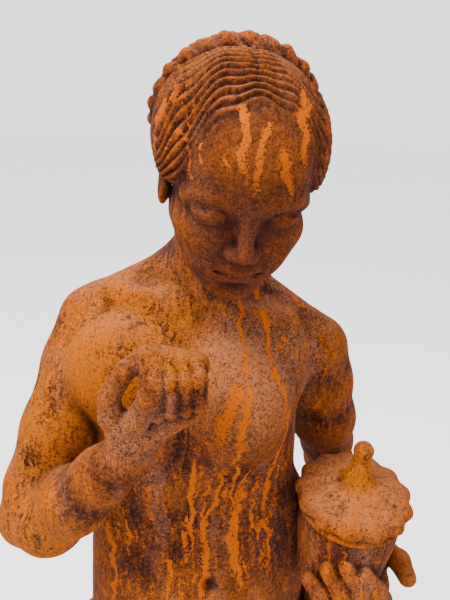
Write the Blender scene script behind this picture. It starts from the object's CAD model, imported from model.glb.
from math import cos, dist, pi, radians, sin

import bpy
import numpy as np
from mathutils import Matrix


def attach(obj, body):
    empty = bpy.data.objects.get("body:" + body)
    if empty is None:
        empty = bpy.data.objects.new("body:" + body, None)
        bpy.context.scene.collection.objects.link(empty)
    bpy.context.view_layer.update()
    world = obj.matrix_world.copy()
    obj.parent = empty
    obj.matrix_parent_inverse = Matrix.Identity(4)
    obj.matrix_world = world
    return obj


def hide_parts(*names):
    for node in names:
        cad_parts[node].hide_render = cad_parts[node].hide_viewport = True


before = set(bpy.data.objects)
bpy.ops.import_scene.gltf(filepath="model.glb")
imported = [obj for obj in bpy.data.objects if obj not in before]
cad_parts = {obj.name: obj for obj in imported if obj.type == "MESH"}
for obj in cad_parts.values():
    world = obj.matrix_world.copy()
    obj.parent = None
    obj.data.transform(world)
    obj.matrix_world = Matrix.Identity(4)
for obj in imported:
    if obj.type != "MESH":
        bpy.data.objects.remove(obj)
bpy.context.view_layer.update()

# Sizes in millimetres, as in the solids. The figure's own measures are parts of its height, and
# places on it are [x, y, z] in parts, with z from the top of the base.
FIGURE_HEIGHT = 1388
HEIGHT_IN_PARTS = 1388
PART = FIGURE_HEIGHT / HEIGHT_IN_PARTS
BASE_DIAMETER = 400
BASE_HEIGHT = 55
BASE_PLINTH_HEIGHT = 22
BASE_TOP_DIAMETER = 370
BASE_COVE_DEPTH = 12
BASE_EDGE = 8
SEAT_GAP = 0.3
SET_BACK = 14
FIGURE_AT = np.array([0, SET_BACK, BASE_HEIGHT + SEAT_GAP])

# The grid that the figure's skin is found on, in parts, and the most triangles it keeps.
BODY_STEP = 3.0
HEAD_STEP = 1.5
BLOCK = 14
FIGURE_TRIANGLES = 196000

REACH = 42  # how far outside its own box a form is still worked out
FAR = 1e3  # the value where no form is near

# Steps of the base's mouldings.
BASE_SIDES = 160
COVE_STEPS = 16
EDGE_STEPS = 6
TOP_RINGS = 19


class Cloud:
    """Places worked out together, with a ball round them so that far forms are passed over."""

    def __init__(self, x, y, z, centre, radius):
        self.x, self.y, self.z = x, y, z
        self.centre = centre
        self.radius = radius

    def near(self, centre, radius):
        return dist(self.centre, centre) < self.radius + radius + REACH

    def folded(self):
        """The same places with the left half laid over the right one."""
        cx, cy, cz = self.centre
        return Cloud(np.abs(self.x), self.y, self.z, (abs(cx), cy, cz), self.radius)


# Two distances joined with a fillet of about `blend`, and one cut by another. None is far away.
def join(a, b, blend):
    if a is None or b is None:
        return b if a is None else a
    h = np.maximum(blend - np.abs(a - b), 0) / blend
    return np.minimum(a, b) - h * h * blend / 4


def cut_by(a, b, blend):
    if a is None or b is None:
        return a
    return -join(-a, b, blend)


def mix(a, b, t):
    return a + (b - a) * t


def ease(t):
    t = np.clip(t, 0, 1)
    return t * t * (3 - 2 * t)


# Forms. Each is a function of a cloud that gives the distance to its skin, negative inside.
def ellipsoid(centre, radii):
    (cx, cy, cz), (rx, ry, rz) = centre, radii

    def form(cloud):
        if not cloud.near(centre, max(radii)):
            return None
        px, py, pz = (cloud.x - cx) / rx, (cloud.y - cy) / ry, (cloud.z - cz) / rz
        k0 = np.sqrt(px * px + py * py + pz * pz)
        k1 = np.sqrt((px / rx) ** 2 + (py / ry) ** 2 + (pz / rz) ** 2)
        return np.where(k1 < 1e-6, -min(radii), k0 * (k0 - 1) / np.maximum(k1, 1e-6))

    return form


def cone(a, b, ra, rb):
    (ax, ay, az), (ux, uy, uz) = a[:3], [b[i] - a[i] for i in range(3)]
    length2 = ux * ux + uy * uy + uz * uz
    middle = [(a[i] + b[i]) / 2 for i in range(3)]
    bound = length2**0.5 / 2 + max(ra, rb)

    def form(cloud):
        if not cloud.near(middle, bound):
            return None
        px, py, pz = cloud.x - ax, cloud.y - ay, cloud.z - az
        t = np.clip((px * ux + py * uy + pz * uz) / length2, 0, 1)
        qx, qy, qz = px - t * ux, py - t * uy, pz - t * uz
        return np.sqrt(qx * qx + qy * qy + qz * qz) - (ra + (rb - ra) * t)

    return form


def chain(*points):
    """Cones end to end. Each point is [x, y, z, radius]."""
    links = [(cone(a, b, a[3], b[3]), a[3] / 3) for a, b in zip(points, points[1:])]

    def form(cloud):
        d = None
        for link, blend in links:
            d = join(d, link(cloud), blend)
        return d

    return form


def both_sides(form):
    return lambda cloud: form(cloud.folded())


def add(form, blend):
    return form, blend, False


def cut(form, blend):
    return form, blend, True


def model(*steps):
    """Forms put together one after another, as clay is."""

    def form(cloud):
        d = None
        for part, blend, is_cut in steps:
            s = part(cloud)
            d = cut_by(d, s, blend) if is_cut else join(d, s, blend)
        return d

    return form


def near(low, high, form):
    """A form that is only worked out within REACH of its box."""
    low, high = np.array(low, float), np.array(high, float)

    def boxed(cloud):
        centre = np.array(cloud.centre)
        out = np.maximum(np.maximum(low - centre, centre - high), 0)
        return None if np.sqrt((out**2).sum()) > cloud.radius + REACH else form(cloud)

    return boxed


def placed(form, origin, rotation, scale=1):
    """A form in a frame of its own, at `origin`, turned by the matrix and scaled."""
    m = np.array(rotation.to_3x3())

    def moved(cloud):
        px, py, pz = [(c - o) / scale for c, o in zip((cloud.x, cloud.y, cloud.z), origin)]
        centre = m.T @ (np.array(cloud.centre) - origin) / scale
        x, y, z = [m[0, i] * px + m[1, i] * py + m[2, i] * pz for i in range(3)]
        d = form(Cloud(x, y, z, tuple(centre), cloud.radius / scale))
        return None if d is None else d * scale

    return moved


def section_at(rows, z):
    """The columns of `rows` at z, on smooth curves through the rows, which run downwards."""
    rows = np.array(rows, float)
    heights = rows[:, 0]
    i = np.clip(np.searchsorted(-heights, -np.asarray(z, float)) - 1, 0, len(rows) - 2)
    before, after = np.maximum(i - 1, 0), np.minimum(i + 2, len(rows) - 1)
    span = heights[i + 1] - heights[i]
    t = np.clip((z - heights[i]) / span, 0, 1)
    t2, t3 = t * t, t * t * t
    columns = []
    for column in rows[:, 1:].T:
        a, b = column[i], column[i + 1]
        slope_a = (b - column[before]) / (heights[i + 1] - heights[before]) * span
        slope_b = (column[after] - a) / (heights[after] - heights[i]) * span
        columns.append(
            (2 * t3 - 3 * t2 + 1) * a + (t3 - 2 * t2 + t) * slope_a
            + (3 * t2 - 2 * t3) * b + (t3 - t2) * slope_b
        )
    return columns


def lofted(rows, power):
    """A body with oval sections. Rows are [z, centre x, half width, front y, back y]."""
    top, bottom = rows[0][0], rows[-1][0]

    def form(cloud):
        cx, a, front, back = section_at(rows, cloud.z)
        b = (back - front) / 2
        u = np.abs(cloud.x - cx) / a
        v = np.abs(cloud.y - (front + back) / 2) / b
        q = np.maximum((u**power + v**power) ** (1 / power), 0.05)
        slope = np.hypot(u ** (power - 1) / a, v ** (power - 1) / b) / q ** (power - 1)
        skin = (q - 1) / np.maximum(slope, 0.5 / np.maximum(a, b))
        return np.maximum(skin, np.maximum(cloud.z - top, bottom - cloud.z))

    return form


def strands(path, count, steps, spread, radius, turns):
    """Strands wound round each other along a path, as a braid or a twisted cloth."""
    points = [path(i / steps) for i in range(steps + 1)]
    links = []
    for s in range(count):
        wound = []
        for i, (at, out, up) in enumerate(points):
            phase = 2 * pi * (s / count + turns * i / steps)
            across, depth = spread * sin(phase), 0.6 * spread * sin(2 * phase)
            wound.append([c + across * u + depth * o for c, u, o in zip(at, up, out)])
        links += [cone(a, b, radius, radius) for a, b in zip(wound, wound[1:])]

    def form(cloud):
        d = None
        for link in links:
            s = link(cloud)
            if s is not None:
                d = s if d is None else np.minimum(d, s)
        return d

    return form


# Over the hips the chest is turned a little to her right, and leans down to her left.
CHEST_TURN = radians(-8)
CHEST_LEAN = 0.13
CHEST_FROM = 870
CHEST_SPAN = 150


def turned(form):
    def bent(cloud):
        def move(x, y, z):
            share = ease((z - CHEST_FROM) / CHEST_SPAN)
            c, s = np.cos(CHEST_TURN * share), -np.sin(CHEST_TURN * share)
            return c * x - s * y, s * x + c * y, z + CHEST_LEAN * share * x

        x, y, z = move(cloud.x, cloud.y, cloud.z)
        centre = move(*cloud.centre)
        return form(Cloud(x, y, z, tuple(map(float, centre)), cloud.radius * 1.2))

    return bent


LEFT_BREAST = [44, -74, 1056]
RIGHT_BREAST = [-78, -62, 1064]


def trunk():
    sections = [
        [1160, 4, 40, -32, 42],
        [1140, 4, 84, -46, 50],
        [1110, 2, 110, -64, 60],
        [1075, -3, 118, -80, 68],
        [1040, -9, 114, -88, 66],
        [1000, -7, 112, -89, 60],
        [950, -3, 110, -86, 52],
        [905, 4, 119, -84, 50],
        [860, 4, 125, -90, 57],
        [810, 3, 127, -96, 72],
        [760, 2, 129, -95, 90],
        [700, 3, 133, -90, 98],
        [640, 4, 132, -84, 92],
    ]
    collarbone = chain([14, -43, 1138, 4], [54, -42, 1141, 3.5], [92, -20, 1134, 4])
    ribs = chain([10, -104, 990, 7], [52, -98, 955, 6])
    spine = chain(
        [0, 74, 1120, 9], [-8, 78, 1050, 9], [-8, 64, 950, 9], [-2, 62, 890, 9], [2, 86, 800, 10]
    )
    body = turned(
        model(
            add(lofted(sections, 2.25), 1),
            add(ellipsoid(LEFT_BREAST, [46, 36, 54]), 36),
            add(ellipsoid(RIGHT_BREAST, [46, 35, 50]), 36),
            add(ellipsoid([LEFT_BREAST[0] + 6, -106, 1034], [5, 5, 5]), 8),
            add(both_sides(collarbone), 24),
            add(both_sides(ellipsoid([62, 48, 1075], [34, 22, 50])), 24),
            cut(ellipsoid([2, -60, 1158], [10, 10, 9]), 12),
            cut(ellipsoid([-12, -112, 1036], [7, 14, 46]), 18),
            cut(both_sides(ribs), 20),
            cut(chain([-8, -102, 972, 7], [0, -101, 870, 7]), 14),
            cut(spine, 14),
        )
    )
    belly = ellipsoid([3, -58, 812], [66, 47, 64])
    navel = ellipsoid([6, -107, 852], [6, 10, 8])
    return near([-150, -130, 640], [150, 105, 1175], model(add(body, 1), add(belly, 36), cut(navel, 9)))


RIGHT_SHOULDER = [-111, 8, 1106]
LEFT_SHOULDER = [124, 6, 1074]


def shoulders_and_neck():
    return near(
        [-150, -90, 1060],
        [165, 60, 1270],
        model(
            add(cone([4, 4, 1135], [14, -42, 1240], 46, 38), 10),
            add(cone([-22, 8, 1168], [-96, 10, 1128], 20, 23), 30),
            add(cone([26, 8, 1164], [108, 8, 1100], 20, 23), 30),
            add(cone([-24, -22, 1250], [-4, -50, 1150], 9, 7), 12),
            add(cone([54, -30, 1246], [12, -50, 1150], 9, 7), 12),
        ),
    )


HEAD_AT = [21, -74, 1277]
HEAD_BOW = radians(22)
HEAD_TURN = radians(2)
HEAD_TILT = radians(4)
HEAD_SCALE = 0.96
HAIR_CENTRE = [0, 9, 23]
HAIR_RADII = [77, 87, 72]


def eye():
    """One eye: the ball, an upper lid lowered over it and a lower lid, with a slit between."""
    ball = ellipsoid([29, -64, -3], [13, 11.9, 9.5])
    lids = ellipsoid([29, -64, -2], [15, 13.5, 10.5])

    def form(cloud):
        shut = lids(cloud)
        if shut is None:
            return None
        slit_at = -6 + 0.012 * (cloud.x - 30) ** 2
        slit = np.maximum(np.abs(cloud.z - slit_at) - 1.2, cloud.y + 65)
        return join(cut_by(shut, slit, 1), ball(cloud), 0.5)

    return form


def face():
    """The head in its own frame: it faces -Y, with the eyes near z = 0."""
    brow = chain([10, -73, 10, 4], [24, -72.5, 14.5, 4], [38, -66, 13, 4], [48, -54, 5, 4])
    lid_crease = chain([17, -73, 3, 1], [28, -77.5, 6.5, 1.2], [41, -70, 2, 1])
    nose = chain([0, -72, 10, 7], [0, -81, -10, 6], [0, -88, -28, 7.5])
    upper_lip = chain([0, -80.5, -51, 3], [9, -79, -51, 3], [20, -71, -53.5, 1.8])
    lower_lip = chain([0, -78, -60, 4.2], [9, -76, -59, 3.8], [18, -71, -55.5, 2])
    between_lips = chain([0, -86, -55.5, 1.6], [10, -83, -54.8, 1.6], [20, -75, -54, 1.2])
    nostril = chain([4.5, -88, -39, 1.8], [7, -80, -38, 1.8])
    return model(
        add(ellipsoid([0, 8, 20], [62, 84, 70]), 1),
        add(ellipsoid([0, -22, -18], [50, 56, 69]), 14),
        add(ellipsoid([0, -32, 32], [54, 46, 42]), 20),
        add(both_sides(cone([38, -6, -42], [14, -56, -76], 17, 14)), 20),
        add(both_sides(ellipsoid([25, -51, -42], [21, 21, 27])), 18),
        add(ellipsoid([0, -66, -80], [14, 13, 12]), 14),
        add(both_sides(ellipsoid([36, -47, -24], [18, 18, 14])), 18),
        cut(both_sides(ellipsoid([30, -88, -2], [17, 14, 10])), 12),
        add(both_sides(brow), 14),
        add(both_sides(eye()), 4),
        cut(both_sides(lid_crease), 1.5),
        add(nose, 9),
        add(both_sides(ellipsoid([8.5, -81, -32], [6, 8, 6])), 6),
        cut(both_sides(nostril), 2),
        add(ellipsoid([0, -70, -56], [23, 12, 17]), 12),
        add(both_sides(upper_lip), 4),
        add(both_sides(lower_lip), 4),
        cut(both_sides(between_lips), 3),
        cut(ellipsoid([0, -80, -69], [12, 5, 4]), 7),
        add(both_sides(ellipsoid([62, 4, -20], [6, 13, 23])), 4),
        cut(both_sides(ellipsoid([69, 2, -18], [5, 8, 13])), 4),
    )


# In front of the braid the locks leave the parting sideways, spread evenly between the hairline and
# the braid, and come together over the ears; behind it they run back to the knot. The locks have a
# wave along them and finer strands on each, and are worn low on the front of her left side.
FRONT_LOCKS = 11
BACK_LOCK_WIDTH = 0.155
LOCK_WAVE = 0.4
LOCK_WAVE_LENGTH = 0.6
LOCK_RELIEF = 4
BRAID_BACK = 0.39
STRANDS_PER_LOCK = 3
STRAND_RELIEF = 1.2


def locks(x, y, z):
    v = [(c - o) / r for c, o, r in zip((x, y, z), HAIR_CENTRE, HAIR_RADII)]
    size = np.maximum(np.sqrt(v[0] ** 2 + v[1] ** 2 + v[2] ** 2), 1e-6)
    side = np.abs(v[0]) / size
    in_front = v[1] < BRAID_BACK * size
    hairline = 1.02 - 0.4 * side - 1.3 * side**4
    raised = np.arctan2(v[2] / size + 0.3 * side, 0.25 * side - v[1] / size)
    over_head = FRONT_LOCKS * (raised - hairline) / (1.95 - hairline)
    down_back = np.arctan2(side, (0.35 * v[1] + 0.94 * v[2]) / size) / BACK_LOCK_WIDTH
    around = np.where(in_front, over_head, down_back)
    from_knot = np.arccos(np.clip((0.94 * v[1] - 0.35 * v[2]) / size, -1, 1))
    along = np.where(in_front, np.arcsin(np.clip(side, 0, 1)), from_knot)
    wave = LOCK_WAVE * np.sin(2 * pi * along / LOCK_WAVE_LENGTH + 0.25 * around) * ease(along / 0.3)
    wave = wave * ease((1.4 - along) / 0.6)
    across = pi * (around + wave)
    lock = np.abs(np.sin(across))
    strand = np.abs(np.sin(STRANDS_PER_LOCK * across)) * lock
    relief = LOCK_RELIEF * (lock - 0.55) + STRAND_RELIEF * (strand - 0.4)
    worn = 1 - 0.6 * ease((x - 4) / 20) * ease((66 - x) / 20)
    fade = np.where(in_front, ease((1.5 - along) / 0.5) * worn, 1)
    parting = np.exp(-((v[0] / 0.045) ** 2)) * ease((v[2] - 0.1) / 0.4) * ease((BRAID_BACK - v[1]) / 0.2)
    return relief * fade - 2 * parting


BRAID_RADII = [74, 90, 74]


def braid_path(t):
    """The braid goes over the head from behind one ear to the other, and on round the nape."""
    angle = 2 * pi * t
    back = 0.42 + 0.55 * float(ease((pi - abs(angle - pi) - radians(80)) / radians(60)))
    direction = np.array([sin(angle), back, 0.92 * cos(angle)])
    out = direction / np.linalg.norm(direction)
    at = np.array(HAIR_CENTRE) + out * np.array(BRAID_RADII)
    up = np.cross(out, [cos(angle), 0, -0.92 * sin(angle)])
    return at, out, up / np.linalg.norm(up)


def hair():
    mass = ellipsoid(HAIR_CENTRE, HAIR_RADII)
    knot = ellipsoid([0, 100, -4], [31, 20, 27])
    braid = strands(braid_path, 3, 72, 7, 7, 9)

    def form(cloud):
        x, y, z = cloud.x, cloud.y, cloud.z
        whole = mass(cloud)
        if whole is None:
            return None
        hairline = 0.75 * (-y - 25) - 0.34 * (z - 50) - 0.57 * np.abs(x)
        nape = 0.9 * (-14 - z - 0.45 * y)
        over_ear = 0.89 * np.abs(x) - 0.46 * z - 65
        d = whole - locks(x, y, z)
        d = -join(-d, -hairline, 6)
        d = -join(-d, -nape, 8)
        d = -join(-d, -over_ear, 8)
        coil = knot(cloud)
        if coil is not None:
            turn, out = np.arctan2(x, z + 4), np.hypot(x, z + 4)
            coil = coil - 2.5 * np.abs(np.sin(0.5 * turn + 0.24 * out)) + 1.5
            coil = coil - 0.5 * np.abs(np.sin(1.5 * turn + 0.72 * out))
        return join(join(d, coil, 6), braid(cloud), 3)

    return form


def head():
    rotation = Matrix.Rotation(HEAD_TURN, 4, "Z") @ Matrix.Rotation(HEAD_BOW, 4, "X")
    rotation = rotation @ Matrix.Rotation(HEAD_TILT, 4, "Y")
    whole = model(add(face(), 1), add(hair(), 3))
    return near([-75, -170, 1165], [120, 60, 1400], placed(whole, HEAD_AT, rotation, HEAD_SCALE))


RIGHT_ELBOW = [-180, -52, 908]
RIGHT_WRIST = [-70, -138, 1043]


def right_arm():
    upper = chain(
        [*RIGHT_SHOULDER, 38], [-128, -6, 1064, 36], [-150, -29, 1000, 36], [-171, -46, 942, 33],
        [*RIGHT_ELBOW, 30],
    )
    lower = chain(
        [*RIGHT_ELBOW, 30], [-157, -72, 920, 35], [-126, -98, 962, 32], [-96, -120, 1006, 26],
        [*RIGHT_WRIST, 21],
    )
    bone = ellipsoid([-189, -46, 900], [19, 21, 21])
    return near([-215, -165, 860], [-40, 50, 1150], model(add(upper, 1), add(bone, 14), add(lower, 12)))


def right_hand():
    """The closed right hand: thumb and first finger meet in a ring, the others are folded."""
    fingers = []
    for i in range(4):
        x = -47 + 11.5 * i
        finger = chain(
            [x + 1, -150, 1086 + 2 * i, 7],
            [x + 1, -164, 1097 + 2 * i, 6.5],
            [x, -170 + 1.5 * i, 1126, 6.8],
            [x - 3, -156 + i, 1141 - 3 * i, 9],
            [x - 6, -138, 1134 - 2 * i, 9],
        )
        fingers.append(add(finger, 2))
    crook = chain(
        [-74, -140, 1064, 15], [-62, -160, 1088, 10], [-53, -168, 1112, 8.5], [-50, -164, 1136, 8],
    )
    thumb = chain(
        [-72, -140, 1062, 15], [-83, -148, 1084, 11], [-84, -154, 1106, 9], [-70, -158, 1132, 8],
        [-54, -160, 1146, 7.5],
    )
    return near(
        [-105, -185, 1030],
        [15, -110, 1165],
        model(
            add(cone([-70, -136, 1048], [-62, -136, 1064], 20, 19), 1),
            add(cone([-62, -140, 1062], [-34, -142, 1084], 18, 15), 12),
            add(ellipsoid([-34, -136, 1100], [28, 17, 34]), 12),
            *fingers,
            add(cone([-46, -152, 1140], [-14, -148, 1131], 10, 10), 8),
            add(crook, 5),
            add(thumb, 6),
        ),
    )


LEFT_ELBOW = [177, 80, 880]
LEFT_WRIST = [198, -34, 828]


def left_arm():
    upper = chain(
        [*LEFT_SHOULDER, 37], [135, 12, 1030, 36], [148, 24, 975, 36], [164, 50, 925, 31],
        [*LEFT_ELBOW, 29],
    )
    lower = chain([*LEFT_ELBOW, 29], [184, 42, 864, 31], [192, 2, 844, 27], [*LEFT_WRIST, 20])
    return near([80, -60, 790], [230, 115, 1120], model(add(upper, 1), add(lower, 12)))


JAR_AT = [154, -69, 842]
JAR_LEAN = radians(1.5)
JAR_BOW = radians(7.5)
JAR_RADIUS = 53
JAR_FOOT_RADIUS = 47
JAR_HEIGHT = 98
LID_RADIUS = 60
LID_EDGE = 11
LID_HEIGHT = 34
LID_SCALLOPS = 13
KNOB_RADIUS = 10.5
KNOB_HEIGHT = 65


def jar():
    lid_top = JAR_HEIGHT + LID_HEIGHT
    neck = cone([0, 0, lid_top - 6], [0, 0, JAR_HEIGHT + KNOB_HEIGHT - 8], 14, 8)

    def form(cloud):
        x, y, z = cloud.x, cloud.y, cloud.z
        r = np.hypot(x, y)
        wall = r - mix(JAR_FOOT_RADIUS, JAR_RADIUS, ease(z / (0.7 * JAR_HEIGHT)))
        d = -join(-wall, -np.maximum(-z, z - JAR_HEIGHT), 5)
        d = join(d, np.hypot(r - JAR_RADIUS, z - JAR_HEIGHT + 7) - 3.5, 3)
        scallop = 2 * np.cos(LID_SCALLOPS * np.arctan2(y, x)) * ease(r / LID_RADIUS)
        above = z - JAR_HEIGHT
        slope = (LID_HEIGHT - LID_EDGE) * (1 - r / LID_RADIUS)
        slant = 0.9 * (above - LID_EDGE - slope - 0.5 * scallop)
        lid = -join(-(r - LID_RADIUS - scallop), -np.maximum(slant, -above), 7)
        d = join(join(d, lid, 2), neck(cloud), 8)
        knob = np.sqrt(x * x + y * y + (above - KNOB_HEIGHT) ** 2) - KNOB_RADIUS
        return join(d, knob, 3)

    lean = Matrix.Rotation(JAR_BOW, 4, "X") @ Matrix.Rotation(JAR_LEAN, 4, "Y")
    return near([90, -165, 835], [230, 5, 1025], placed(form, JAR_AT, lean))


def beside_jar(angle, r, z, size):
    """A point of a chain round the jar, the angle in degrees from its front."""
    return [JAR_AT[0] + r * sin(radians(angle)), JAR_AT[1] - 5 - r * cos(radians(angle)), z, size]


def left_hand():
    """The left hand lies under the jar, and its fingers come up over the front of it."""
    fingers = []
    for i in range(4):
        tip = 6 - 19 * i
        height = 893 - 8 * (i - 1) ** 2
        finger = chain(
            beside_jar(tip + 48, 40, 826 - 3 * i, 10),
            beside_jar(tip + 34, 56, 836 - 3 * i, 10),
            beside_jar(tip + 17, 59, (836 + height) / 2, 9.5),
            beside_jar(tip, 57, height, 8),
        )
        fingers.append(add(finger, 3))
    thumb = chain([206, -48, 822, 15], [213, -62, 846, 13], [218, -84, 855, 12], [223, -99, 845, 10])
    return near(
        [95, -160, 790],
        [245, -15, 910],
        model(
            add(cone(LEFT_WRIST, [190, -66, 824], 20, 18), 1),
            add(ellipsoid([168, -76, 824], [44, 42, 15]), 12),
            *fingers,
            add(thumb, 6),
        ),
    )


# The cloth is wound round the hips, its upper edge rolled, higher at her left hip, and its end
# hangs from there. `around` is the angle from the front, positive towards her left.
CLOTH_FOLDS = 17
CLOTH_SECTIONS = [
    [800, 2, 128, -98, 90],
    [750, 3, 136, -100, 98],
    [690, 3, 143, -102, 106],
    [600, 2, 144, -105, 105],
    [480, 0, 139, -108, 98],
    [360, -2, 134, -108, 96],
    [240, -4, 134, -110, 100],
    [120, -6, 142, -118, 108],
    [20, -8, 156, -130, 120],
    [-20, -8, 160, -134, 124],
]


def cloth_top(around):
    return 702 + 42 * np.sin(around) - 14 * np.cos(around)


def cloth_folds(around, z):
    down = np.clip((760 - z) / 740, 0, 1)
    over_knee = np.exp(-(((around + 0.55) / 0.5) ** 2)) * ease((z - 230) / 160)
    depth = mix(3, 12, down**0.8) * (1 - 0.8 * over_knee) * (0.75 + 0.25 * np.sin(2 * around + 1))
    phase = CLOTH_FOLDS * around * 0.5 + 1.6 * np.sin(around - 0.6) + 2.2 * down
    fine = 0.25 * np.abs(np.sin(2 * phase + 0.7))
    return depth * (np.abs(np.sin(phase)) ** 0.8 + fine - 0.7)


# The end of the cloth: pleats that fan out downwards from the knot at her left hip, with a
# stepped lower edge.
END_AT = radians(66)
END_TOP = 738
END_HEM = 330
END_PLEATS = 5


def cloth_end(plain, around, z):
    fallen = np.clip((END_TOP - z) / (END_TOP - END_HEM), 0, 1)
    half = mix(0.13, 0.42, fallen**0.7)
    across = (around - END_AT + 0.12 * np.sin(5 * fallen)) / half
    pleat = np.fmod((across + 1) / 2 * END_PLEATS, 1)
    thick = 12 + 10 * np.abs(pleat - 0.35) * (0.5 + 0.5 * fallen)
    hem = END_HEM + 46 * np.abs(pleat - 0.5) + 60 * np.abs(across)
    d = np.maximum(plain - thick - 8, (np.abs(across) - 1) * half * 150)
    return np.maximum(d, np.maximum(hem - z, z - END_TOP))


def roll_path(t):
    around = 2 * pi * t
    z = cloth_top(around)
    cx, a, front, back = [float(c) for c in section_at(CLOTH_SECTIONS, z)]
    s, c = sin(around), cos(around)
    at = [cx + (a + 1) * s, (front + back) / 2 - ((back - front) / 2 + 1) * c, float(z)]
    return at, [s, -c, 0], [0, 0, 1]


def cloth():
    skirt = lofted(CLOTH_SECTIONS, 2.2)
    right_leg = chain(
        [-58, -22, 690, 66], [-64, -70, 530, 60], [-68, -90, 425, 53], [-76, -72, 310, 47],
        [-84, -50, 120, 42],
    )
    left_leg = chain([72, -4, 690, 72], [64, -36, 420, 60], [56, -20, 120, 50])
    roll = strands(roll_path, 3, 60, 8, 11, 4)
    knot = model(
        add(ellipsoid([145, -52, 736], [20, 24, 20]), 1),
        add(ellipsoid([144, -20, 752], [16, 22, 15]), 4),
        cut(chain([169, -74, 750, 3], [169, -52, 732, 3], [165, -30, 744, 3]), 4),
    )

    def form(cloud):
        x, y, z = cloud.x, cloud.y, cloud.z
        around = np.arctan2(x, -y)
        plain = join(join(skirt(cloud), right_leg(cloud), 34), left_leg(cloud), 30)
        d = plain - cloth_folds(around, z)
        d = np.maximum(d, z - cloth_top(around) - 4)
        d = join(d, cloth_end(plain, around, z), 4)
        d = join(d, roll(cloud), 5)
        return join(d, knot(cloud), 5)

    return near([-170, -140, -20], [190, 130, 810], form)


def foot(heel, toe):
    along = [t - h for t, h in zip(toe, heel)]
    arch = [heel[0] + 0.45 * along[0], heel[1] + 0.45 * along[1], 26, 27]
    ball = [heel[0] + 0.8 * along[0], heel[1] + 0.8 * along[1], 16, 20]
    steps = [add(chain([*heel, 30], arch, ball), 1)]
    side = 1 if along[0] > 0 else -1
    for i in range(5):
        across = (i - 2) * 12 * side
        short = 3 * abs(i - 1.2)
        root = [toe[0] + across, toe[1] + 34, 13]
        steps.append(add(cone(root, [toe[0] + 1.05 * across, toe[1] + short, 9], 9, 8), 3))
    return model(*steps)


def feet():
    both = model(
        add(foot([-76, -60, 36], [-82, -152, 12]), 1),
        add(foot([50, -50, 36], [57, -142, 12]), 1),
    )
    return near([-140, -190, -15], [115, -10, 75], both)


FIGURE = model(
    add(trunk(), 1),
    add(shoulders_and_neck(), 14),
    add(right_arm(), 12),
    add(left_arm(), 12),
    add(head(), 6),
    add(right_hand(), 5),
    add(cloth(), 2),
    add(feet(), 3),
    add(jar(), 3),
    add(left_hand(), 4),
)


def grid_lines(low, high, fine_low, fine_high, coarse, fine):
    """Grid lines, `fine` apart between the two inner places and `coarse` elsewhere."""
    lines = [low]
    while lines[-1] < high:
        at = lines[-1]
        lines.append(at + (fine if fine_low <= at < fine_high else coarse))
    return np.array(lines)


def sampled(form, xs, ys, zs):
    """The form's value at each grid place. Blocks well clear of the skin get one value."""
    values = np.empty((len(xs), len(ys), len(zs)), np.float32)
    starts = [range(0, len(lines), BLOCK) for lines in (xs, ys, zs)]
    for i in starts[0]:
        for j in starts[1]:
            for k in starts[2]:
                bx, by, bz = xs[i : i + BLOCK], ys[j : j + BLOCK], zs[k : k + BLOCK]
                centre = tuple((b[0] + b[-1]) / 2 for b in (bx, by, bz))
                radius = sum(((b[-1] - b[0]) / 2) ** 2 for b in (bx, by, bz)) ** 0.5
                point = form(Cloud(*[np.array([c]) for c in centre], centre, 0.0))
                there = FAR if point is None else float(point[0])
                block = values[i : i + BLOCK, j : j + BLOCK, k : k + BLOCK]
                if abs(there) > 1.3 * radius + 8:
                    block[:] = there
                    continue
                x, y, z = [c.ravel() for c in np.meshgrid(bx, by, bz, indexing="ij")]
                d = form(Cloud(x, y, z, centre, radius))
                block[:] = FAR if d is None else d.reshape(block.shape)
    return values


def skin_of(values, xs, ys, zs):
    """Quads of the skin where the values change sign: one point in each cell that it crosses."""
    inside = values < 0
    shape = tuple(n - 1 for n in values.shape)
    count = np.zeros(shape, np.int8)
    corners = [(i, j, k) for i in (0, 1) for j in (0, 1) for k in (0, 1)]
    for i, j, k in corners:
        count += inside[i : i + shape[0], j : j + shape[1], k : k + shape[2]]
    cells = np.flatnonzero((count > 0) & (count < 8))
    ci, cj, ck = np.unravel_index(cells, shape)
    total = np.zeros((len(cells), 3))
    crossed = np.zeros(len(cells))
    for a in corners:
        for axis in range(3):
            if a[axis]:
                continue
            b = tuple(1 if n == axis else c for n, c in enumerate(a))
            va = values[ci + a[0], cj + a[1], ck + a[2]]
            vb = values[ci + b[0], cj + b[1], ck + b[2]]
            hit = (va < 0) != (vb < 0)
            t = np.where(hit, va / np.where(hit, va - vb, 1), 0)
            pa = np.stack([xs[ci + a[0]], ys[cj + a[1]], zs[ck + a[2]]], 1)
            pb = np.stack([xs[ci + b[0]], ys[cj + b[1]], zs[ck + b[2]]], 1)
            total += np.where(hit[:, None], pa + (pb - pa) * t[:, None], 0)
            crossed += hit
    points = total / crossed[:, None]

    quads = []
    for axis in range(3):
        u, v = [n for n in range(3) if n != axis]
        low = [slice(1, -1)] * 3
        high = [slice(1, -1)] * 3
        low[axis], high[axis] = slice(0, -1), slice(1, None)
        a, b = inside[tuple(low)], inside[tuple(high)]
        place = np.argwhere(a != b)
        outward = a[tuple(place.T)]
        place[:, u] += 1
        place[:, v] += 1
        ring = []
        for du, dv in ((-1, -1), (0, -1), (0, 0), (-1, 0)):
            cell = place.copy()
            cell[:, u] += du
            cell[:, v] += dv
            ring.append(np.searchsorted(cells, np.ravel_multi_index(cell.T, shape)))
        ring = np.stack(ring, 1)
        flip = outward if axis == 1 else ~outward
        ring[flip] = ring[flip][:, ::-1]
        quads.append(ring)
    return points, np.concatenate(quads)


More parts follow.
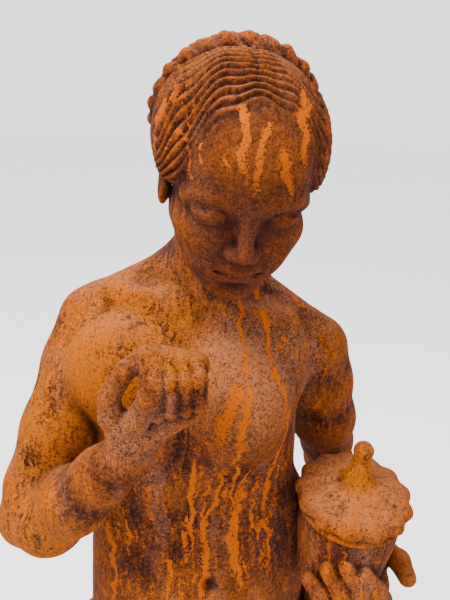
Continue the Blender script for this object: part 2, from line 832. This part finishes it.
def mesh_object(name, points, faces):
    mesh = bpy.data.meshes.new(name)
    mesh.from_pydata(points.tolist(), [], faces.tolist())
    mesh.update()
    piece = bpy.data.objects.new(name, mesh)
    bpy.context.scene.collection.objects.link(piece)
    return piece


def apply_modifiers(piece):
    graph = bpy.context.evaluated_depsgraph_get()
    mesh = bpy.data.meshes.new_from_object(piece.evaluated_get(graph))
    piece.modifiers.clear()
    piece.data = mesh


def figure_piece():
    xs = grid_lines(-228, 252, -106, 120, BODY_STEP, HEAD_STEP)
    ys = grid_lines(-196, 142, -182, 52, BODY_STEP, HEAD_STEP)
    zs = grid_lines(-BODY_STEP, 1404, 1036, 1404, BODY_STEP, HEAD_STEP)
    values = sampled(FIGURE, xs, ys, zs)
    values[:, :, 0] = FAR
    points, quads = skin_of(values, xs, ys, zs)
    points[:, 2] = np.where(points[:, 2] < 0, 0, points[:, 2])
    piece = mesh_object("figure_skin", (points * PART + FIGURE_AT) / 1000, quads)
    thin = piece.modifiers.new("thin", "DECIMATE")
    thin.ratio = min(1, FIGURE_TRIANGLES / (2 * len(quads)))
    apply_modifiers(piece)
    return piece


def base_piece():
    foot_r, top_r = BASE_DIAMETER / 2, BASE_TOP_DIAMETER / 2
    neck = top_r - BASE_COVE_DEPTH
    hollow = BASE_HEIGHT - BASE_PLINTH_HEIGHT - BASE_EDGE
    profile = [(0, 0), (foot_r - 1, 0), (foot_r, 1), (foot_r, BASE_PLINTH_HEIGHT - 1)]
    profile.append((foot_r - 1, BASE_PLINTH_HEIGHT))
    for i in range(1, COVE_STEPS + 1):
        t = i / COVE_STEPS
        if t < 0.5:
            r = mix(foot_r, neck, sin(t * pi))
        else:
            r = mix(neck, top_r, 1 - cos((t - 0.5) * pi))
        profile.append((min(r, foot_r - 1), BASE_PLINTH_HEIGHT + hollow * t))
    for i in range(1, EDGE_STEPS + 1):
        a = i / EDGE_STEPS * pi / 2
        profile.append((top_r - BASE_EDGE * (1 - cos(a)), BASE_HEIGHT - BASE_EDGE * (1 - sin(a))))
    for r in np.linspace(top_r - BASE_EDGE, 0, TOP_RINGS + 1)[1:]:
        profile.append((float(r), BASE_HEIGHT))
    sides = BASE_SIDES
    points, faces = [], []
    for r, z in profile:
        for s in range(sides):
            points.append((r * cos(2 * pi * s / sides), r * sin(2 * pi * s / sides), z))
    for row in range(len(profile) - 1):
        for s in range(sides):
            t = (s + 1) % sides
            faces.append([row * sides + s, row * sides + t, (row + 1) * sides + t, (row + 1) * sides + s])
    piece = mesh_object("base_skin", np.array(points) / 1000, np.array(faces))
    weld = piece.modifiers.new("weld", "WELD")
    weld.merge_threshold = 1e-5
    apply_modifiers(piece)
    return piece


figure = figure_piece()
base = base_piece()
for piece in (figure, base):
    piece.data.shade_smooth()
    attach(piece, "root")
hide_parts("figure")
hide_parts("base")


class Nodes:
    """A material's node tree, built with short calls."""

    def __init__(self, name):
        self.material = bpy.data.materials.new(name)
        self.material.use_nodes = True
        self.tree = self.material.node_tree
        self.shader = self.tree.nodes["Principled BSDF"]

    def link(self, source, target):
        self.tree.links.new(source, target)

    def node(self, kind, inputs=(), **settings):
        made = self.tree.nodes.new(kind)
        for key, value in settings.items():
            setattr(made, key, value)
        for key, value in dict(inputs).items():
            if isinstance(value, bpy.types.NodeSocket):
                self.link(value, made.inputs[key])
            else:
                made.inputs[key].default_value = value
        return made

    def object_place(self):
        return self.node("ShaderNodeTexCoord").outputs["Object"]

    def stretched(self, vector, scale):
        return self.node("ShaderNodeMapping", {"Vector": vector, "Scale": scale}).outputs["Vector"]

    def stirred(self, vector, scale, reach):
        """The place moved about by noise, by up to about a third of `reach` in metres."""
        noise = self.node("ShaderNodeTexNoise", {"Vector": vector, "Scale": scale, "Detail": 3.0})
        off = self.vector("SUBTRACT", noise.outputs["Color"], (0.5, 0.5, 0.5))
        off = self.node("ShaderNodeVectorMath", {0: off, "Scale": reach}, operation="SCALE").outputs[0]
        return self.vector("ADD", vector, off)

    def vector(self, operation, a, b):
        return self.node("ShaderNodeVectorMath", {0: a, 1: b}, operation=operation).outputs[0]

    def noise(self, vector, scale, detail, roughness):
        inputs = {"Vector": vector, "Scale": scale, "Detail": detail, "Roughness": roughness}
        return self.node("ShaderNodeTexNoise", inputs).outputs["Fac"]

    def ramp(self, value, *stops):
        """A ramp from stops of (place, grey or colour)."""
        made = self.node("ShaderNodeValToRGB", {"Fac": value})
        elements = made.color_ramp.elements
        while len(elements) < len(stops):
            elements.new(0.5)
        for element, (at, colour) in zip(elements, stops):
            element.position = at
            rgb = (colour,) * 3 if isinstance(colour, (int, float)) else colour
            element.color = (*rgb, 1)
        return made.outputs["Color"]

    def math(self, operation, a, b=0.0):
        return self.node("ShaderNodeMath", {0: a, 1: b}, operation=operation, use_clamp=True).outputs[0]

    def between(self, value, low, high, at_low=0.0, at_high=1.0):
        """`value` carried from the range low to high to the range at_low to at_high."""
        inputs = {"Value": value, 1: low, 2: high, 3: at_low, 4: at_high}
        return self.node("ShaderNodeMapRange", inputs).outputs[0]

    def mix(self, factor, a, b):
        ends = [(*c, 1) if isinstance(c, tuple) else c for c in (a, b)]
        inputs = {0: factor, 6: ends[0], 7: ends[1]}
        return self.node("ShaderNodeMix", inputs, data_type="RGBA").outputs[2]

    def spot(self, vector, centre, radius):
        """1 at the centre, given in parts, and 0 from `radius` on."""
        middle = tuple((np.array(centre) * PART + FIGURE_AT) / 1000)
        inputs = {0: vector, 1: middle}
        away = self.node("ShaderNodeVectorMath", inputs, operation="DISTANCE").outputs["Value"]
        return self.between(away, 0.35 * radius * PART / 1000, radius * PART / 1000, 1.0, 0.0)


# The colours of the rust, linear.
BLACK = (0.012, 0.0042, 0.0026)
DARK = (0.038, 0.0105, 0.0050)
BROWN = (0.085, 0.0220, 0.0078)
RUSSET = (0.150, 0.0350, 0.0060)
AMBER = (0.245, 0.0530, 0.0012)
ORANGE = (0.375, 0.0680, 0.0002)
OCHRE = (0.340, 0.0860, 0.0004)
PLUM = (0.260, 0.0980, 0.0500)
DUST = (0.300, 0.0980, 0.0350)

# Bright runs that water has left on the front: [x at the top, x at the foot, top z, foot z, half
# width], in parts.
RUNS = [
    [12, 17, 1334, 1284, 3],
    [32, 24, 1322, 1272, 3],
    [60, 62, 1346, 1290, 3],
    [45, 50, 1306, 1266, 3.5],
    [28, 36, 1170, 1088, 1.6],
    [42, 74, 1190, 1052, 2.4],
    [36, 24, 1092, 1000, 2.2],
    [27, 12, 1092, 1030, 5],
    [78, 62, 1060, 920, 2],
    [-14, -10, 1000, 900, 2],
    [16, 0, 985, 905, 2],
    [4, -2, 925, 830, 3.5],
    [31, 27, 1000, 930, 1.8],
    [27, 40, 932, 840, 2.4],
    [48, 28, 985, 932, 1.4],
    [-40, -36, 880, 820, 1.8],
    [-98, -96, 900, 800, 1.8],
]


def broken(n, profile, fuzz):
    """A mask from a soft profile whose edges break up into grains. `fuzz` runs from 0 to 1."""
    rough = n.math("SUBTRACT", n.math("ADD", profile, n.math("MULTIPLY", fuzz, 0.85)), 0.85)
    return n.ramp(rough, (0.0, 0.0), (0.14, 1.0))


def front_runs(n, place, fuzz):
    """The runs of the list as a mask, only on what faces the front."""
    wandering = n.stirred(n.stirred(place, 16, 0.030), 60, 0.014)
    at = n.node("ShaderNodeSeparateXYZ", {"Vector": wandering}).outputs
    height = n.node("ShaderNodeSeparateXYZ", {"Vector": place}).outputs["Z"]
    mask = 0.0
    for top_x, foot_x, top_z, foot_z, half_width in RUNS:
        low, high = [(z * PART + FIGURE_AT[2]) / 1000 for z in (foot_z, top_z)]
        middle = n.between(height, low, high, foot_x * PART / 1000, top_x * PART / 1000)
        off = n.node("ShaderNodeMath", {0: at["X"], 1: middle}, operation="SUBTRACT").outputs[0]
        off = n.node("ShaderNodeMath", {0: off}, operation="ABSOLUTE").outputs[0]
        inside = n.between(off, half_width * 2.2 * PART / 1000, 0.0)
        lower_end = n.between(height, low - 0.02, low + 0.02)
        upper_end = n.between(height, high + 0.006, high - 0.01)
        ends = n.math("MULTIPLY", lower_end, upper_end)
        mask = n.math("MAXIMUM", n.math("MULTIPLY", inside, ends), mask)
    normal = n.node("ShaderNodeNewGeometry").outputs["Normal"]
    facing = n.node("ShaderNodeSeparateXYZ", {"Vector": normal}).outputs["Y"]
    return broken(n, n.math("MULTIPLY", mask, n.between(facing, -0.15, -0.5)), fuzz)


def rust(name):
    """Old rust on cast iron: a brown grainy ground, bright runs downwards, dust and pits."""
    n = Nodes(name)
    place = n.object_place()
    grain = n.between(n.noise(place, 620, 3, 0.8), 0.36, 0.64)
    coarse = n.between(n.noise(place, 240, 5, 0.85), 0.36, 0.64)
    mottle = n.between(n.noise(place, 30, 5, 0.7), 0.36, 0.64)
    patches = n.noise(place, 8, 3, 0.55)
    wandering = n.stirred(n.stirred(place, 22, 0.026), 75, 0.010)
    streaks = n.between(n.noise(n.stretched(wandering, (1, 1, 0.06)), 260, 2, 0.6), 0.36, 0.64)
    runs = n.noise(n.stretched(wandering, (1, 1, 0.055)), 125, 2, 0.5)
    wide_runs = n.noise(n.stretched(wandering, (1, 1, 0.09)), 33, 3, 0.6)
    specks = n.math("ADD", n.math("MULTIPLY", grain, 0.5), n.math("MULTIPLY", coarse, 0.5))
    ridge = n.node("ShaderNodeAttribute", attribute_name="ridge").outputs["Fac"]
    hollow = n.node("ShaderNodeAttribute", attribute_name="hollow").outputs["Fac"]

    # The ground is brown, with fine streaks downwards and a grain, and plum in patches.
    tone = n.math("ADD", n.math("MULTIPLY", mottle, 0.26), n.math("MULTIPLY", coarse, 0.26))
    tone = n.math("ADD", tone, n.math("MULTIPLY", grain, 0.24))
    tone = n.math("ADD", tone, n.math("MULTIPLY", streaks, 0.24))
    tone = n.math("ADD", tone, n.math("MULTIPLY", ridge, 0.10))
    colour = n.ramp(tone, (0.26, BLACK), (0.42, DARK), (0.57, BROWN), (0.70, RUSSET), (0.84, ORANGE))
    plum_runs = n.ramp(wide_runs, (0.46, 0.0), (0.60, 0.8))
    plum = n.math("MULTIPLY", plum_runs, n.ramp(patches, (0.40, 0.2), (0.6, 0.9)))
    chest = n.spot(place, [34, -90, 1092], 84)
    plum = n.math("MAXIMUM", plum, n.math("MULTIPLY", chest, 0.92))
    plum = n.math("MAXIMUM", plum, n.math("MULTIPLY", n.spot(place, [-66, -150, 1080], 52), 0.8))
    colour = n.mix(plum, colour, n.ramp(specks, (0.20, DARK), (0.70, PLUM)))

    # The front of the head is darker, and streaked downwards. `worn` also breaks up the bloom below.
    worn = n.math("ADD", n.math("MULTIPLY", streaks, 0.5), n.math("MULTIPLY", mottle, 0.5))
    worn = n.math("ADD", n.math("MULTIPLY", worn, 0.7), n.math("MULTIPLY", specks, 0.3))
    brow = n.math("MAXIMUM", n.spot(place, [24, -135, 1300], 105), n.spot(place, [-42, -66, 1290], 80))
    streaked = n.ramp(worn, (0.20, BLACK), (0.50, DARK), (0.80, BROWN), (1.0, RUSSET))
    colour = n.mix(n.math("MULTIPLY", brow, 0.88), colour, streaked)

    # A yellower bloom over her right shoulder, breast and arm, and on the lid's front.
    bloom = n.math("MAXIMUM", n.spot(place, [-84, -60, 1100], 112), n.spot(place, [-150, -20, 1000], 95))
    bloom = n.math("MAXIMUM", bloom, n.spot(place, [154, -100, 985], 74))
    bloom = n.math("MAXIMUM", bloom, n.math("MULTIPLY", n.spot(place, [-160, -80, 920], 90), 0.8))
    bloom = n.math("MAXIMUM", bloom, n.math("MULTIPLY", n.spot(place, [-30, -160, 1145], 34), 0.8))
    bloom = n.math("MULTIPLY", bloom, n.ramp(worn, (0.26, 0.0), (0.50, 1.0)))
    colour = n.mix(bloom, colour, n.ramp(specks, (0.14, RUSSET), (0.36, AMBER), (0.60, OCHRE)))

    # What faces up carries dust.
    normal = n.node("ShaderNodeNewGeometry").outputs["Normal"]
    up = n.node("ShaderNodeSeparateXYZ", {"Vector": normal}).outputs["Z"]
    dust = n.math("MULTIPLY", n.between(up, 0.60, 0.98, 0.0, 0.6), n.ramp(coarse, (0.15, 0.2), (0.5, 1.0)))
    colour = n.mix(dust, colour, n.ramp(specks, (0.1, PLUM), (0.6, DUST)))

    # The runs: a few long ones on the front, and finer ones all over but the hand and the face.
    belly = n.spot(place, [10, -100, 900], 130)
    where = n.math("MAXIMUM", n.ramp(patches, (0.46, 0.0), (0.58, 0.8)), n.math("MULTIPLY", belly, 0.8))
    hand = n.spot(place, [-55, -150, 1095], 75)
    face_spot = n.spot(place, [26, -130, 1225], 95)
    where = n.math("SUBTRACT", where, n.math("MAXIMUM", hand, face_spot))
    run_mask = broken(n, n.math("MULTIPLY", n.between(runs, 0.52, 0.64), where), specks)
    run_mask = n.math("MAXIMUM", run_mask, front_runs(n, place, specks))
    colour = n.mix(run_mask, colour, n.ramp(specks, (0.10, AMBER), (0.50, ORANGE)))

    # Ridges are rubbed brighter. Hollows, pits and the face under the brow stay dark.
    colour = n.mix(n.math("MULTIPLY", ridge, n.ramp(specks, (0.2, 0.15), (0.6, 0.6))), colour, AMBER)
    shade = n.spot(place, [26, -135, 1214], 92)
    grained = n.ramp(specks, (0.0, BLACK), (0.25, DARK), (1.0, BROWN))
    colour = n.mix(n.math("MULTIPLY", shade, 0.70), colour, grained)
    colour = n.mix(n.math("MULTIPLY", hollow, 0.92), colour, BLACK)
    colour = n.mix(n.ramp(grain, (0.06, 0.6), (0.26, 0.0)), colour, BLACK)
    n.link(colour, n.shader.inputs["Base Color"])

    n.link(n.between(mottle, 0.0, 1.0, 0.75, 0.95), n.shader.inputs["Roughness"])
    n.shader.inputs["Specular IOR Level"].default_value = 0.04

    relief = n.math("ADD", n.math("MULTIPLY", grain, 0.35), n.math("MULTIPLY", coarse, 0.50))
    relief = n.math("ADD", relief, n.math("MULTIPLY", run_mask, 0.15))
    bump = n.node("ShaderNodeBump", {"Strength": 0.6, "Distance": 0.0012, "Height": relief})
    n.link(bump.outputs["Normal"], n.shader.inputs["Normal"])
    return n.material


HOLLOW_DEPTH = 0.0011  # in metres, the depth or rise that counts as full


def mark_hollows(piece, rounds=5):
    """How far each point lies below or above its neighbours, smoothed, as values from 0 to 1."""
    mesh = piece.data
    count = len(mesh.vertices)
    points = np.empty(count * 3)
    mesh.vertices.foreach_get("co", points)
    points = points.reshape(-1, 3)
    normals = np.empty(count * 3)
    mesh.vertices.foreach_get("normal", normals)
    normals = normals.reshape(-1, 3)
    edges = np.empty(len(mesh.edges) * 2, int)
    mesh.edges.foreach_get("vertices", edges)
    a, b = edges.reshape(-1, 2).T
    degree = np.maximum(np.bincount(a, minlength=count) + np.bincount(b, minlength=count), 1)

    def average(values):
        return (np.bincount(a, values[b], count) + np.bincount(b, values[a], count)) / degree

    smooth = points.copy()
    for _ in range(rounds):
        smooth = np.stack([average(smooth[:, i]) for i in range(3)], 1)
    rise = ((smooth - points) * normals).sum(1)
    for _ in range(2):
        rise = 0.5 * rise + 0.5 * average(rise)
    for name, sign in (("hollow", 1), ("ridge", -1)):
        value = np.clip(sign * rise / HOLLOW_DEPTH, 0, 1).astype(np.float32)
        mesh.attributes.new(name, "FLOAT", "POINT").data.foreach_set("value", value)


iron = rust("rust")
for piece in (figure, base):
    mark_hollows(piece)
    piece.data.materials.clear()
    piece.data.materials.append(iron)


def pale(name, colour, roughness):
    n = Nodes(name)
    n.shader.inputs["Base Color"].default_value = (*colour, 1)
    n.shader.inputs["Roughness"].default_value = roughness
    return n.material


def floor():
    sides, radius = 96, 14
    turns = [2 * pi * s / sides for s in range(sides)]
    rim = [(radius * cos(turn), radius * sin(turn), -0.0005) for turn in turns]
    mesh = bpy.data.meshes.new("floor")
    mesh.from_pydata(rim, [], [list(range(sides))])
    piece = bpy.data.objects.new("floor", mesh)
    bpy.context.scene.collection.objects.link(piece)
    piece.data.materials.append(pale("floor_paint", (0.96, 0.96, 0.955), 0.9))


def light(name, place, target, size, power):
    data = bpy.data.lights.new(name, "AREA")
    data.shape = "DISK"
    data.size = size
    data.energy = power
    lamp = bpy.data.objects.new(name, data)
    bpy.context.scene.collection.objects.link(lamp)
    away = np.array(place, float) - np.array(target, float)
    away /= np.linalg.norm(away)
    right = np.cross([0, 0, 1], away)
    right /= np.linalg.norm(right)
    up = np.cross(away, right)
    lamp.matrix_world = Matrix(
        [[right[i], up[i], away[i], place[i]] for i in range(3)] + [[0, 0, 0, 1]]
    )


floor()
light("key", (-1.1, -0.8, 3.3), (0, 0, 1.1), 1.0, 170)
light("fill", (2.4, -2.2, 1.6), (0, 0, 1.0), 1.8, 6)
light("top", (0.3, 0.6, 3.4), (0, 0, 1.2), 1.4, 24)
world = bpy.data.worlds.new("studio")
bpy.context.scene.world = world
world.use_nodes = True
world.node_tree.nodes["Background"].inputs["Color"].default_value = (1, 1, 1, 1)
world.node_tree.nodes["Background"].inputs["Strength"].default_value = 2.0

# The camera: its place in the figure's parts, and which way it looks. Its lens is as long as its
# sensor is high.
CAMERA_AT = [-40, -582, 1350]
CAMERA_AZIMUTH = radians(6.2)
CAMERA_PITCH = radians(20.5)
CAMERA_ROLL = radians(-2.1)


def camera():
    az, down, roll = CAMERA_AZIMUTH, CAMERA_PITCH, CAMERA_ROLL
    forward = np.array([sin(az) * cos(down), cos(az) * cos(down), -sin(down)])
    right = np.cross(forward, [0, 0, 1])
    right /= np.linalg.norm(right)
    below = np.cross(forward, right)
    across = cos(roll) * right + sin(roll) * below
    below = cos(roll) * below - sin(roll) * right
    place = (np.array(CAMERA_AT) * PART + FIGURE_AT) / 1000
    data = bpy.data.cameras.new("camera")
    data.sensor_fit = "VERTICAL"
    data.sensor_height = 24
    data.lens = 24
    data.clip_start = 0.02
    eye_piece = bpy.data.objects.new("camera", data)
    bpy.context.scene.collection.objects.link(eye_piece)
    eye_piece.matrix_world = Matrix(
        [[across[i], -below[i], -forward[i], place[i]] for i in range(3)] + [[0, 0, 0, 1]]
    )
    bpy.context.scene.camera = eye_piece


camera()
